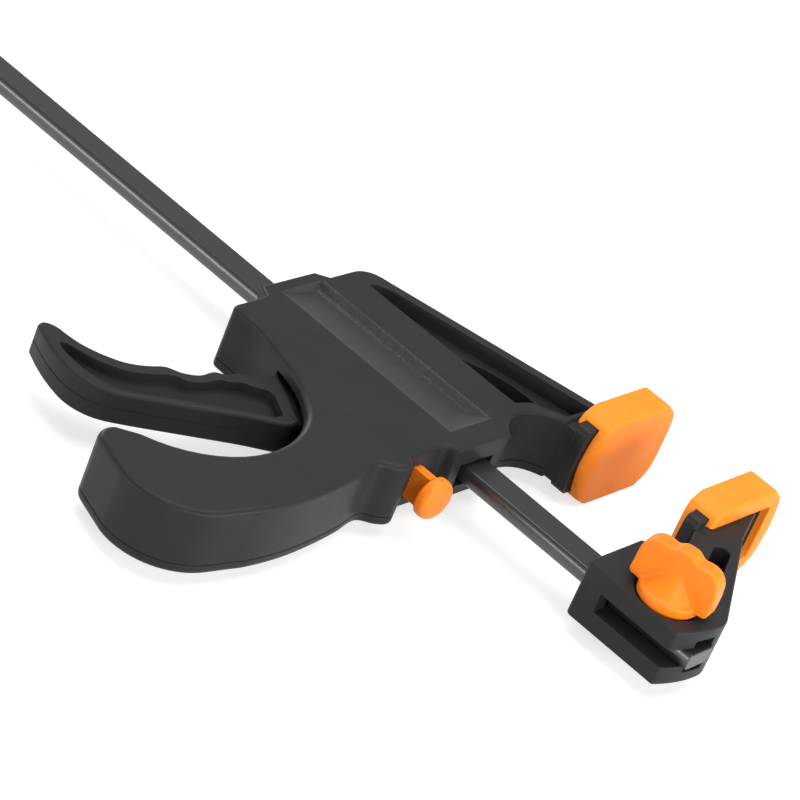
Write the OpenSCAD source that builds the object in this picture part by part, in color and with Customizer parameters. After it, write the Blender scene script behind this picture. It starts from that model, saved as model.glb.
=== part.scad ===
// Quick release bar clamp, lying on its side with the jaws partly open.
//
// X runs along the bar towards the fixed jaw, Y from the bar towards the jaw tips and
// Z up through the clamp's thickness. The origin is the centre of the fixed clamping face.
// Everything is drawn from the bar's axis: y = 0 is the axis, and x = 0 is the clamping face
// of the jaw that the piece belongs to. on_bar() and on_head() put it in the clamp's frame.

/* [Bar] */
// Height of the bar's section, along Y
bar_height = 10.6; // [9.6:0.1:11]
// Thickness of the bar's section, along Z
bar_thickness = 5; // [4.4:0.1:5.4]
// How far the rolled narrow edges bulge
bar_crown = 0.3; // [0.1:0.05:0.6]
// Length of the bar
bar_length = 340; // [320:5:640]
// How far the bar's end stands past the fixed clamping face
bar_nose = 40.2; // [39:0.1:42]
// Diameter of the stop pin at the free end
stop_pin_diameter = 3; // [2:0.1:4]
// Length of the stop pin
stop_pin_length = 10; // [9:0.1:12]
// Distance of the stop pin from the bar's free end
stop_pin_inset = 6; // [4:0.5:12]

/* [Jaws and pads] */
// Distance between the clamping faces as drawn
opening = 30.3; // [5:0.1:170]
// Distance from the bar's axis to the middle of the clamping faces
jaw_reach = 54; // [52:0.5:60]
// Width of a pad, along Z
pad_width = 28.6; // [27:0.1:32]
// Length of a pad, along Y
pad_length = 36.7; // [35:0.1:40]
// Depth of a pad, from its face to its back rim
pad_depth = 10.3; // [10:0.1:12]
// Thickness of the pad in front of the jaw plate
pad_face = 3.3; // [2.5:0.1:4]
// Radius of the pad's end near the bar
pad_heel_radius = 26; // [22:0.5:34]
// Width of the jaw plate inside the pad
plate_width = 21.8; // [20:0.1:22.2]
// Thickness of the jaw plate
plate_thickness = 4.6; // [3.5:0.1:5]
// How far the jaw plate's lip stands out of the pad, towards the bar
plate_lip = 2.5; // [1.5:0.1:3.5]

/* [Fixed jaw] */
// Thickness of the fixed jaw
jaw_thickness = 17.8; // [16.6:0.1:17.9]
// Distance from the clamping face to the fixed jaw's rear face
jaw_rear = 4.5; // [4:0.1:6]
// Distance from the bar's axis to the fixed jaw's near side
jaw_near = 10.4; // [9.6:0.1:12]
// Distance from the clamping face to the knob's axis
knob_x = 24.6; // [23:0.1:25]
// Width of the window that shows the bar's edge
jaw_window = 5.8; // [5.6:0.1:7]

/* [Wing knob] */
// Diameter of the knob's disc
knob_disc_diameter = 17.6; // [16.6:0.1:19]
// Thickness of the knob's disc
knob_disc_thickness = 3.5; // [3:0.1:4.5]
// Length of the wing across its side lobes
wing_span = 24.2; // [23:0.1:28]
// Thickness of the wing
wing_thickness = 4.8; // [4:0.1:6]
// Height of the wing above the disc
wing_height = 13.3; // [12:0.1:15]
// How far the wing is turned from the bar's direction
wing_turn = 11; // [0:1:30]
// Diameter of the knob's stud
stud_diameter = 5; // [4:0.1:5.5]
// Width of the nut across its flats
nut_flats = 8; // [7.6:0.1:9]
// Thickness of the nut
nut_thickness = 3.9; // [3:0.1:4.2]

/* [Sliding head] */
// Thickness of the head over shell and cover
head_thickness = 20; // [19.6:0.1:22]
// Thickness of the cover
cover_thickness = 3; // [2.6:0.1:3.4]
// Distance from the clamping face to the head's front face
head_front = 13; // [12.5:0.1:14]
// Distance from the clamping face to the head's rear end
head_rear = 91.6; // [90:0.1:96]
// How far the shoulders stand back from the rear end
head_shoulder = 4.4; // [4:0.1:7]
// Distance from the bar's axis to the head's near edge, behind the trigger
head_near = 28; // [27:0.1:30]
// Distance from the bar's axis to the arm's lower end
arm_root = 22; // [18:0.1:24]
// Slope of the arm's outer edge
arm_slope = 15; // [13:0.5:17]
// Width of the arm's outer flange
arm_flange = 4; // [3.4:0.1:6]
// Thickness of the arm's web
arm_web = 10; // [8:0.1:12]
// Thickness of the web in its deeper part beside the body
arm_web_thin = 2.4; // [1.6:0.1:4]
// Radius of the hollow between the head and the moving jaw
neck_radius = 12.4; // [11.5:0.1:13]
// Width of the trough along the top
trough_width = 17.6; // [16:0.1:18]
// Depth of the trough
trough_depth = 2.4; // [1.5:0.1:2.6]
// Radius of the head's upper and lower edges
head_edge = 1.2; // [0.6:0.1:1.6]
// How far the cover stands back from the front face, beside the bar
cover_setback = 5; // [2.5:0.1:5.8]

/* [Grip and trigger] */
// Radius of the throat between trigger and grip
throat_radius = 34.4; // [33.5:0.1:35]
// Radius of the grip's end
grip_end_radius = 20.3; // [19:0.1:21]
// Radius of the grip's upper and lower edges
grip_edge = 3; // [2:0.1:3.4]
// Wall of the hollow grip
grip_wall = 3.5; // [3:0.1:5]
// Thickness of the trigger
trigger_thickness = 10; // [9:0.1:10.8]
// Thickness of the trigger's root, where it passes into the head
trigger_root = 7; // [6:0.1:8]
// Thickness of the web inside the trigger
trigger_web = 3.6; // [1.6:0.1:4]
// Width of the rim round the trigger's hollows
trigger_rim = 3.2; // [2.6:0.1:3.6]
// Width of the rib that closes the trigger's hollows towards its root
trigger_rib = 3.9; // [3:0.1:5]
// How far the trigger turns
trigger_stroke = 18; // [12:1:18]
// Diameter of the trigger's pin
trigger_pin_diameter = 4; // [3:0.1:5]

/* [Mechanism] */
// Height of the cavity inside the head
cavity_height = 11.8; // [11.4:0.1:12]
// Width of the steel plates, along Z
steel_plate_width = 11.2; // [10.4:0.1:11.2]
// Thickness of each drive plate
drive_plate_thickness = 2.5; // [2:0.1:3]
// Distance from the trigger's pin to the centre of its nose
nose_arm = 13; // [12.5:0.1:13.5]
// Radius of the trigger's nose
nose_radius = 3.5; // [3.2:0.1:4]
// Thickness of the brake plate
brake_plate_thickness = 3; // [2.4:0.1:3.2]
// Travel of the release button
release_travel = 4; // [3:0.1:4.4]
// Diameter of the release button's head
button_diameter = 12.2; // [11:0.1:12.6]
// Thickness of the release button's stem
button_stem = 3; // [2.4:0.1:3.4]
// Width of the release button's stem
button_stem_width = 10; // [9:0.1:10.6]
// Outer diameter of the drive spring
drive_spring_diameter = 7.2; // [6.4:0.1:7.4]
// Outer diameter of the brake spring
brake_spring_diameter = 7; // [6:0.1:7.4]
// Diameter of the spring wire
spring_wire = 1; // [0.7:0.1:1.2]

/* [Screws] */
// Diameter of the cover screws
screw_diameter = 2.8; // [2.4:0.1:3.2]
// Diameter of the cover screws' heads
screw_head_diameter = 5.4; // [4.8:0.1:5.8]
// Length of the cover screws below the head
screw_length = 9; // [7:0.5:10]

/* [Fits] */
// Radial clearance of a pin or stud in its hole
running_fit = 0.08; // [0.03:0.01:0.1]
// Clearance of flat faces that slide on each other
sliding_fit = 0.2; // [0.15:0.05:0.3]
// Clearance between pieces that are assembled and stay put
assembly_fit = 0.1; // [0.05:0.05:0.15]

/* [Hidden] */
$fn = 48;

black = [0.25, 0.25, 0.27];
dark_steel = [0.2, 0.2, 0.21];
steel = [0.6, 0.6, 0.62];
orange = [1, 0.55, 0.22];

edge_steps = 5;
head_half = head_thickness / 2;
seam = -head_half + cover_thickness;
cavity_half = cavity_height / 2;
pad_heel = jaw_reach - pad_length / 2;
pad_tip = jaw_reach + pad_length / 2;
plate_front = pad_face + assembly_fit;
plate_back = plate_front + plate_thickness;
bar_tail = bar_nose - bar_length;
stop_pin_x = bar_tail + stop_pin_inset;

// the shoulders' plane and the arm's end, behind the pad's back rim
shoulder_x = -head_rear + head_shoulder;
arm_end = -pad_depth - 0.3;
neck_centre = [-6.3, jaw_reach - 32.7];
throat_centre = [-68, -65];
grip_end_centre = [-37.4, -92.8];
grip_tip_centre = [-51.3, -103];
grip_tip_radius = 6.3;

// the trigger's pin, and its nose, which swings evenly to both sides of upright
pivot = [-52, -22];
nose = pivot + nose_arm * [sin(trigger_stroke / 2), cos(trigger_stroke / 2)];
drive_front = nose[0] - nose_radius - 0.05;
drive_travel = 2 * nose_arm * sin(trigger_stroke / 2);
drive_plate_gap = 0.05;
drive_rear = drive_front - 2 * drive_plate_thickness - drive_plate_gap;
drive_plate_top = 10.5;
drive_plate_foot = -13.5;

// the release button in its recess, and the flange inside that keeps it in the head
button_y = -22;
button_back = -10.5;
button_flange = 1.5;
recess_x = -16.5;
front_wall_back = recess_x - 3;
flange_back = front_wall_back - 0.15 - button_flange;

// the brake plate swings about its upper end, and its lower end rests on that flange
brake_pivot = [flange_back - 0.05 - release_travel - brake_plate_thickness / 2, 13];
brake_foot = -21.5;
brake_arm = brake_pivot[1] - brake_foot;
brake_tilt = asin(release_travel / brake_arm);
brake_head_radius = 1.9;

spring_seat_rear = -79;
spring_y = -9.5;
brake_spring_y = -12;
brake_spring_seat = -38.5;
seat_rib = 2.5;

screw_places = [[-80, 18], [-52, 17.8], [-26, 19.4], [-77, -21.4], [-24.5, -47], [-36, -97]];
screw_head_height = 1.8;
screw_end = -head_half + screw_head_height + screw_length;
boss_radius = screw_diameter / 2 + 2;

// points of an arc about a centre, from one angle to another
function arc(centre, radius, from, to, steps = 12) =
    [for (i = [0 : steps]) centre + radius * [cos(from + (to - from) * i / steps),
                                              sin(from + (to - from) * i / steps)]];

// a smooth curve through all but the first and last of the points given
function blend(a, b, c, d, t) =
    0.5 * (2 * b + (c - a) * t + (2 * a - 5 * b + 4 * c - d) * t * t
           + (3 * b - a - 3 * c + d) * t * t * t);
function smooth(p, steps = 4) =
    [for (i = [1 : len(p) - 3], k = [0 : steps - 1])
        blend(p[i - 1], p[i], p[i + 1], p[i + 2], k / steps)];

// a smooth closed curve through all the points given
function smooth_loop(p, steps = 3) =
    [for (i = [0 : len(p) - 1], k = [0 : steps - 1])
        blend(p[(i + len(p) - 1) % len(p)], p[i], p[(i + 1) % len(p)], p[(i + 2) % len(p)],
              k / steps)];

module on_bar() {
    translate([0, -jaw_reach, 0]) children();
}

module on_head() {
    translate([-opening, -jaw_reach, 0]) children();
}

// a plan drawn in X and Y, extruded evenly to both sides of the bar's axis
module both_sides(thickness) {
    translate([0, 0, -thickness / 2]) linear_extrude(thickness) children();
}

// a section drawn in Y and Z, extruded along X
module along_x(from, to) {
    translate([from, 0, 0]) rotate([90, 0, 90]) linear_extrude(to - from) children();
}

// ---- bar ----

module bar_hole(x, radius) {
    translate([x, 0, -bar_thickness]) cylinder(r = radius, h = 2 * bar_thickness);
}

module bar() {
    color(dark_steel) on_bar() difference() {
        along_x(bar_tail, bar_nose) intersection() {
            square([bar_height, bar_thickness], center = true);
            bar_crowns();
        }
        bar_hole(knob_x, stud_diameter / 2 + running_fit);
        bar_hole(stop_pin_x, stop_pin_diameter / 2);
    }
}

// the two rolled narrow edges, as one lens-shaped section
module bar_crowns() {
    crown_radius = (pow(bar_thickness / 2, 2) + bar_crown * bar_crown) / (2 * bar_crown);
    intersection_for(side = [-1, 1])
        translate([side * (bar_height / 2 - crown_radius), 0]) circle(crown_radius, $fn = 96);
}

module bar_stop_pin() {
    color(steel) on_bar() translate([stop_pin_x, 0, -stop_pin_length / 2])
        cylinder(d = stop_pin_diameter, h = stop_pin_length);
}

// ---- pads and jaw plates, drawn for the moving jaw: the face at x = 0 looks along +X ----

module pad_outline() {
    heel_half = 12;
    heel_angle = asin(heel_half / pad_heel_radius);
    heel_y = pad_heel + pad_heel_radius * (1 - cos(heel_angle));
    tip_bulge = 1.3;
    tip_half = 9.4;
    tip_radius = (tip_half * tip_half + tip_bulge * tip_bulge) / (2 * tip_bulge);
    tip_angle = asin(tip_half / tip_radius);
    half = pad_width / 2;
    polygon(concat(
        arc([pad_heel + pad_heel_radius, 0], pad_heel_radius, 180 - heel_angle, 180 + heel_angle),
        [[heel_y + 4, -half], [pad_tip - 6, -half], [pad_tip - 2.6, -half + 2.7]],
        arc([pad_tip - tip_radius, 0], tip_radius, -tip_angle, tip_angle, 8),
        [[pad_tip - 2.6, half - 2.7], [pad_tip - 6, half], [heel_y + 4, half]]));
}

// side view of the pad: its face is rounded off towards the bar
module pad_profile() {
    soft = pad_face;
    polygon(concat(
        [[-pad_depth, pad_heel]],
        arc([-soft, pad_heel + soft], soft, -90, 0, 8),
        [[0, pad_tip - 0.8], [-0.8, pad_tip], [-pad_depth, pad_tip]]));
}

module pad() {
    pocket_half = plate_width / 2 + assembly_fit;
    throat_half = jaw_thickness / 2 + assembly_fit;
    color(orange) difference() {
        intersection() {
            along_x(-pad_depth, 0) pad_outline();
            both_sides(pad_width) pad_profile();
        }
        along_x(-plate_back - assembly_fit, -pad_face)
            offset(delta = assembly_fit) plate_outline();
        along_x(-plate_back - assembly_fit, -pad_face) translate([0, -pocket_half])
            square([jaw_reach, 2 * pocket_half]);
        along_x(-pad_depth - 1, -plate_back) translate([0, -throat_half])
            square([pad_tip - 6, 2 * throat_half]);
    }
}

module plate_outline() {
    half = plate_width / 2;
    lip_radius = 80;
    lip_angle = asin(half / lip_radius);
    tip = pad_tip - 3.8;
    polygon(concat(
        arc([pad_heel - plate_lip + lip_radius, 0], lip_radius, 180 - lip_angle, 180 + lip_angle, 8),
        [[tip - 2.5, -half], [tip, -half + 2.5], [tip, half - 2.5], [tip - 2.5, half]]));
}

module jaw_plate() {
    along_x(-plate_back, -plate_front) plate_outline();
}

module moving_pad() {
    on_head() pad();
}

module fixed_pad() {
    on_bar() mirror([1, 0, 0]) pad();
}

// ---- fixed jaw, stud, nut and knob ----

module fixed_jaw_plan() {
    nose_corner = [31, 5.8];
    corner_radius = 8.4;
    nose_radius_large = 40;
    nose_centre = nose_corner + [corner_radius - nose_radius_large, 0];
    near_angle = asin((jaw_near + nose_corner[1]) / nose_radius_large);
    hollow = [-1.5, jaw_reach - 29.8];
    hollow_radius = 12.6;
    polygon(concat(
        [[jaw_rear, -jaw_near]],
        arc(nose_centre, nose_radius_large, -near_angle, 0, 6),
        arc(nose_corner, corner_radius, 0, 32, 5),
        [[19.4, jaw_reach - 13.3], [16.5, jaw_reach - 8.8],
         [10.2, jaw_reach + 5.3], [plate_back - 1, jaw_reach + 6.4],
         [plate_back - 1, pad_heel - plate_lip], [plate_back, pad_heel - plate_lip]],
        arc(hollow, hollow_radius, 43, -61, 10),
        [[jaw_rear, 12.5]]));
}

module slanted_slot() {
    slot_radius = 2.5;
    hull() {
        translate([18.2, jaw_reach - 21.4]) circle(slot_radius, $fn = 32);
        translate([23.6, jaw_reach - 32.6]) circle(slot_radius, $fn = 32);
    }
}

module fixed_jaw() {
    window_start = jaw_rear + 7.5;
    notch_half_height = 5.2;
    notch_depth = 8;
    recess_depth = 1.2;
    half = jaw_thickness / 2;
    color(black) on_bar() {
        difference() {
            union() {
                both_sides(jaw_thickness) fixed_jaw_plan();
                mirror([1, 0, 0]) jaw_plate();
            }
            // the bar's socket, open at both ends
            along_x(0, bar_nose + 5) square([bar_height + 2 * assembly_fit,
                                             bar_thickness + 2 * assembly_fit], center = true);
            // the window along the near side, open at the nose
            translate([window_start, -jaw_near - 1, -jaw_window / 2])
                cube([bar_nose, jaw_near + 1, jaw_window]);
            // notches above and below the bar's end
            translate([bar_nose - 1 - notch_depth, -2.2, -notch_half_height])
                cube([2 * notch_depth, 7, 2 * notch_half_height]);
            both_sides(2 * jaw_thickness) slanted_slot();
            translate([knob_x, 0, half - recess_depth])
                cylinder(d = knob_disc_diameter + 1.8, h = recess_depth + 1);
            translate([knob_x, 0, -half - 1])
                cylinder(r = stud_diameter / 2 + running_fit, h = jaw_thickness);
            translate([knob_x, 0, -half - 1])
                cylinder(d = (nut_flats + 2 * assembly_fit) / cos(30),
                         h = nut_thickness + 1 + assembly_fit, $fn = 6);
        }
    }
}

module knob_nut() {
    color(steel) on_bar() translate([knob_x, 0, -jaw_thickness / 2]) difference() {
        cylinder(d = nut_flats / cos(30), h = nut_thickness, $fn = 6);
        translate([0, 0, -1])
            cylinder(r = stud_diameter / 2 + running_fit, h = nut_thickness + 2);
    }
}

// the stud's collar, moulded into the knob so that both turn together
collar_radius = 4;
collar_height = 2;
knob_floor = jaw_thickness / 2 - 1.1;
disc_top = knob_floor + knob_disc_thickness;
stud_top = disc_top + 4;

module stud_shape() {
    translate([0, 0, -jaw_thickness / 2 + 0.4])
        cylinder(d = stud_diameter, h = stud_top + jaw_thickness / 2 - 0.4);
    translate([0, 0, disc_top - 1]) cylinder(r = collar_radius, h = collar_height);
}

module knob_screw() {
    color(steel) on_bar() translate([knob_x, 0, 0]) stud_shape();
}

// the wing seen from the side: two side lobes and a taller hump between them
module wing_outline() {
    lobe = wing_span / 4;
    half = wing_span / 2;
    lobe_centre = wing_height - 1.1 - lobe;
    hump = 6;
    translate([0, disc_top]) {
        for (side = [-1, 1]) {
            translate([side * (half - lobe), lobe_centre]) circle(lobe);
            polygon([[0, -1.1], [side * 8.2, -1.1], [side * (half - 0.7), -0.7], [side * half, 0],
                     [side * half, lobe_centre], [0, lobe_centre]]);
        }
        translate([0, wing_height - hump]) circle(hump);
    }
}

module wing_knob() {
    cone_height = 6;
    color(orange) on_bar() translate([knob_x, 0, 0]) difference() {
        union() {
            translate([0, 0, knob_floor]) rotate_extrude() polygon([
                [0, 0], [knob_disc_diameter / 2, 0],
                [knob_disc_diameter / 2, knob_disc_thickness - 0.8],
                [knob_disc_diameter / 2 - 0.8, knob_disc_thickness],
                [wing_thickness / 2 + 1, knob_disc_thickness + cone_height],
                [0, knob_disc_thickness + cone_height]]);
            rotate([90, 0, wing_turn]) translate([0, 0, -wing_thickness / 2])
                linear_extrude(wing_thickness) wing_outline();
        }
        stud_shape();
    }
}

// ---- sliding head: outlines ----

// the body with its rear guide, the arm and the neck behind the jaw plate
module body_plan() {
    corner = 2.4;
    arm_corner = 7;
    arm_top = jaw_reach - 3.7;
    slope = tan(arm_slope);
    rear_x = shoulder_x - 1;
    corner_y = arm_top - (arm_end - rear_x) * slope;
    reach_back = arm_corner * tan((90 - arm_slope) / 2);
    polygon(concat(
        arc([shoulder_x + corner, -head_near + corner], corner, 180, 270, 4),
        [[-76.6, -head_near + 0.3], [-71.5, -head_near - 2.2], [recess_x, -head_near - 2.2],
         [recess_x, -15], [recess_x + 0.5, -13.4], [recess_x + 1.6, -12.2],
         [-head_front, -11.4], [-head_front, 9.9]],
        arc(neck_centre, neck_radius, 239, 117, 12),
        [[arm_end, pad_heel - plate_lip], [arm_end, arm_top]],
        arc([rear_x + arm_corner, corner_y - reach_back], arm_corner, 90 + arm_slope, 180, 6),
        [[rear_x, 13.8], [-head_rear, 10.5], [-head_rear, -12], [shoulder_x, -17.5]]));
}

// the grip with its front edge, the knuckle under the release button and the throat
module grip_plan() {
    front_edge = [[-22, -27], [-16.6, -27.6], [-13.5, -29.4], [-12.8, -32], [-14.4, -35.4],
                  [-17.2, -38.6], [-17.3, -42.4], [-15.7, -50], [-14.4, -62], [-14, -73],
                  [-14.9, -84], [-17.1, -92.8], [-20, -101]];
    difference() {
        polygon(concat(
            [[-76, -20], [-22, -20]],
            smooth(front_edge),
            arc(grip_end_centre, grip_end_radius, 0, -108, 14),
            arc(grip_tip_centre, grip_tip_radius, -108, -205, 7),
            [throat_centre]));
        translate(throat_centre) circle(throat_radius, $fn = 96);
        translate([-110, -100]) square([48, 72]);
    }
}

// the gusset between the arm's end and the jaw plate
module neck_plan(start) {
    polygon([[start, pad_heel - plate_lip], [1 - plate_back, pad_heel - plate_lip],
             [1 - plate_back, jaw_reach + 5], [-plate_back, jaw_reach + 5],
             [arm_end, jaw_reach - 3.7], [start, jaw_reach - 4.7]]);
}

// the hollow triangle in the arm, open above and below the web
module arm_pocket_plan() {
    rim = 2;
    arm_top = jaw_reach - 3.7;
    slope = tan(arm_slope);
    flange = arm_flange / cos(arm_slope);
    near_y = arm_root + 1.3;
    rear = shoulder_x + 6.4;
    polygon(concat(
        [[rear, near_y]],
        arc(neck_centre, neck_radius + 4.2, 172, 150, 3),
        arc(neck_centre, neck_radius + rim + 0.4, 138, 116, 3),
        [[arm_end - 1.6, pad_heel - 0.4],
         [arm_end - 1.6, arm_top - 1.6 * slope - flange],
         [rear + 5, arm_top - (arm_end - rear - 5) * slope - flange],
         [rear, near_y + 2.6]]));
}

// the part of that hollow beside the body, where the web is thin
module arm_step_plan() {
    step_centre = [-27, -2.5];
    step_radius = 40;
    ledge = 0.6;
    intersection() {
        offset(delta = -ledge) arm_pocket_plan();
        translate(step_centre) circle(step_radius, $fn = 96);
    }
}

// where the mechanism sits: along the bar, round the trigger's root and behind the button
module cavity_plan() {
    translate([-head_rear + 7.6, -6.5]) square([head_rear - 7.6 + front_wall_back, 18]);
    translate([spring_seat_rear, -14]) square([20, 8]);
    translate([-64, -25]) square([29.5, 20]);
    translate([-36, -27]) square([36 + front_wall_back, 22]);
    // the slot that the brake plate's upper end rocks in
    translate([brake_pivot[0] - brake_head_radius - 0.15, 5])
        square([2 * brake_head_radius + 0.3, brake_pivot[1] + brake_head_radius + 0.15 - 5]);
    translate([-63, -48]) square([28.5, 24]);
}

module grip_hollow_plan() {
    intersection() {
        offset(delta = -grip_wall) grip_plan();
        translate([-80, -120]) square([80, 66]);
    }
}

module boss_plan() {
    for (place = screw_places) translate(place) circle(boss_radius, $fn = 24);
}

// the trough along the top: a floor that slopes down to a steep far wall, with a long ramp
// at its front and a short slope at its rear
module trough() {
    rear = -head_rear + 4;
    rear_run = 1.6;
    front = -20;
    ramp_run = 8.7;
    near = -7.5;
    far = near + trough_width;
    // how far across the top, and how much of the depth is reached there
    floor_curve = [for (point = [[near - 2, -0.3], [near, 0], [near + 4, 0.4], [near + 9.5, 0.8],
                                 [far - 3, 1], [far - 1.9, 0.85], [far - 1, 0.5], [far, 0],
                                 [far + 1, 0]])
        [point[0], head_half - trough_depth * point[1]]];
    deeper = trough_depth + 0.2;
    intersection() {
        along_x(rear, front)
            polygon(concat([[near, head_half + 1]], smooth(floor_curve, 3),
                           [[far, head_half], [far, head_half + 1]]));
        translate([0, far + 1, 0]) rotate([90, 0, 0]) linear_extrude(trough_width + 2)
            polygon([[rear, head_half + 1], [rear, head_half],
                     [rear + rear_run, head_half - deeper],
                     [front - ramp_run, head_half - deeper],
                     [front, head_half], [front, head_half + 1]]);
    }
}

// how far a rounded edge stands in at some depth below the face, finer steps left out
function edge_inset(radius, depth) =
    let (inset = depth < radius ? radius - sqrt(radius * radius - pow(radius - depth, 2)) : 0)
    inset < 0.06 ? 0 : inset;

// one half of the head between the seam and its outer face, as a stack of layers in which
// body and grip stand in by the rounding of their own edges
module head_half_solid(bottom) {
    height = head_half - bottom;
    grip_radius = min(grip_edge, height - 0.4);
    depths = concat([for (i = [0 : edge_steps]) grip_radius * (1 - cos(90 * i / edge_steps))],
                    [height]);
    // each layer reaches a little way into the one under it
    join = 0.1;
    for (i = [1 : len(depths) - 1]) {
        middle = (depths[i - 1] + depths[i]) / 2;
        reach = i == len(depths) - 1 ? 0 : join;
        translate([0, 0, head_half - depths[i] - reach])
            linear_extrude(depths[i] - depths[i - 1] + reach)
                head_plan(edge_inset(head_edge, middle), edge_inset(grip_radius, middle));
    }
}

// body and grip as one outline with small fillets in its inner corners
module head_plan(body_inset, grip_inset) {
    fillet = 0.5;
    offset(r = -fillet, $fn = 16) offset(delta = fillet) {
        offset(delta = -body_inset) body_plan();
        offset(delta = -grip_inset) grip_plan();
    }
}

// ---- sliding head: pieces ----

module housing_shell() {
    front_hole = [13.7, 7.2];
    color(black) on_head() difference() {
        union() {
            head_half_solid(seam);
            jaw_plate();
            // the neck that passes through the pad's back opening
            both_sides(jaw_thickness) neck_plan(arm_end);
            translate([0, 0, seam]) linear_extrude(jaw_thickness / 2 - seam) neck_plan(arm_end - 1);
        }
        trough();
        translate([0, 0, arm_web / 2]) linear_extrude(head_half) arm_pocket_plan();
        translate([0, 0, -arm_web / 2 - head_half]) linear_extrude(head_half) arm_pocket_plan();
        translate([0, 0, arm_web_thin / 2]) linear_extrude(arm_web / 2) arm_step_plan();
        translate([0, 0, -arm_web_thin / 2 - arm_web / 2]) linear_extrude(arm_web / 2)
            arm_step_plan();
        translate([0, 0, seam - 1]) linear_extrude(cavity_half - seam + 1) difference() {
            cavity_plan();
            // the rib that the brake spring stands on
            translate([brake_spring_seat - seat_rib, -17]) square([seat_rib, 10.5]);
        }
        translate([0, 0, seam - 1]) linear_extrude(cavity_half - seam + 1) difference() {
            grip_hollow_plan();
            boss_plan();
        }
        // the bar's way through, with a wider mouth at the front face
        along_x(-head_rear - 1, 0) square([bar_height + 2 * sliding_fit,
                                           bar_thickness + 2 * sliding_fit], center = true);
        along_x(recess_x, 0) translate([-0.4, 0]) square(front_hole, center = true);
        // the button's slot
        translate([front_wall_back - 1, button_y - button_stem / 2 - sliding_fit,
                   -button_stem_width / 2 - sliding_fit])
            cube([5, button_stem + 2 * sliding_fit, button_stem_width + 2 * sliding_fit]);
        // the pin's blind hole
        translate([pivot[0], pivot[1], 0])
            cylinder(r = trigger_pin_diameter / 2 + running_fit, h = cavity_half + 2.2);
        for (place = screw_places) translate([place[0], place[1], seam - 1])
            cylinder(r = screw_diameter / 2 + assembly_fit / 2, h = screw_end + 0.5 - seam + 1);
    }
}

module housing_cover() {
    lid = 0.25;
    cover_gap = [-27, 10];
    color(black) on_head() difference() {
        union() {
            mirror([0, 0, 1]) head_half_solid(-seam);
            // the raised floor that closes the cavity under the mechanism
            translate([0, 0, seam - 0.5]) linear_extrude(-cavity_half - seam + 0.5)
                offset(delta = -lid) cavity_floor_plan();
        }
        mirror([0, 0, 1]) trough();
        translate([0, 0, -head_thickness]) linear_extrude(head_thickness) arm_pocket_plan();
        // set back under the front face and the button's recess
        translate([-head_front - cover_setback, cover_gap[0], -head_thickness])
            cube([head_front, cover_gap[1] - cover_gap[0], head_thickness]);
        translate([pivot[0], pivot[1], -cavity_half - 2.4])
            cylinder(r = trigger_pin_diameter / 2 + running_fit, h = 5);
        for (place = screw_places) translate([place[0], place[1], -head_half - 1]) {
            cylinder(r = screw_diameter / 2 + assembly_fit / 2, h = head_thickness);
            cylinder(r = screw_head_diameter / 2 + assembly_fit, h = screw_head_height + 1);
        }
    }
}

// the cavity less the brake spring's rib, kept inside the head's outline
module cavity_floor_plan() {
    difference() {
        intersection() {
            cavity_plan();
            union() {
                body_plan();
                grip_plan();
            }
        }
        translate([brake_spring_seat - seat_rib, -17]) square([seat_rib, 10.5]);
    }
}

module cover_screws() {
    color(steel) on_head() for (place = screw_places)
        translate([place[0], place[1], -head_half]) difference() {
            union() {
                cylinder(d = screw_head_diameter, h = screw_head_height);
                cylinder(d = screw_diameter, h = screw_head_height + screw_length);
            }
            // the cross recess
            for (turn = [0, 90]) rotate(turn) translate([-1.3, -0.35, -1]) cube([2.6, 0.7, 2]);
        }
}

// ---- trigger ----

// the lever from its tip to its root inside the head, with grooves for the fingers
module trigger_lever_plan() {
    finger_side = [[-104.2, -82], [-100.9, -79.9], [-96.3, -79.2], [-91.9, -77.8],
                   [-86.6, -74.9], [-82, -71.3], [-78.9, -66.4], [-76.8, -61.4], [-73, -58.6],
                   [-70.4, -54.4], [-70.2, -49.4], [-67.9, -46.2], [-66.7, -41.6],
                   [-63.6, -37.8], [-62.9, -33.5], [-62.6, -29], [-59.5, -24.5]];
    palm_side = [[-47, -22], [-45.5, -28], [-44, -36], [-43.6, -42], [-44.3, -46.2],
                 [-50.3, -53.8], [-57.1, -63.4], [-63.7, -72.9], [-68.6, -79.8], [-73.1, -85.4],
                 [-77.8, -88.6], [-83.7, -89.9], [-91, -88.8], [-97.1, -86.9], [-101.6, -85],
                 [-103.9, -83.7]];
    polygon(smooth_loop(concat(finger_side, palm_side)));
}

module trigger() {
    boss = 6;
    neck = 4.8;
    hollow = (trigger_thickness - trigger_web) / 2;
    color(black) on_head() difference() {
        union() {
            difference() {
                union() {
                    both_sides(trigger_thickness) difference() {
                        trigger_lever_plan();
                        beyond_root(0);
                    }
                    both_sides(trigger_root) trigger_lever_plan();
                }
                for (side = [-1, 1])
                    translate([0, 0, side * (trigger_web / 2 + hollow)])
                        both_sides(2 * hollow) trigger_hollow_plan();
            }
            both_sides(trigger_thickness) {
                translate(pivot) circle(boss);
                translate(pivot) rotate(-trigger_stroke / 2) translate([-neck / 2, 0])
                    square([neck, nose_arm]);
                translate(nose) circle(nose_radius);
            }
        }
        translate([pivot[0], pivot[1], -trigger_thickness])
            cylinder(r = trigger_pin_diameter / 2 + running_fit, h = 2 * trigger_thickness);
    }
}

// everything past the line where the lever steps down to its root, or that line set back
module beyond_root(back) {
    root_middle = [-50.4, -37.8];
    root_angle = -28;
    reach = 30;
    translate(root_middle) rotate(root_angle) translate([-reach, -back])
        square([2 * reach, reach]);
}

module trigger_hollow_plan() {
    // the tip stays solid up to here
    solid_tip = -96.5;
    difference() {
        offset(delta = -trigger_rim) trigger_lever_plan();
        translate([2 * solid_tip, 2 * solid_tip]) square([-solid_tip, -2 * solid_tip]);
        beyond_root(trigger_rib);
    }
}

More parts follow.
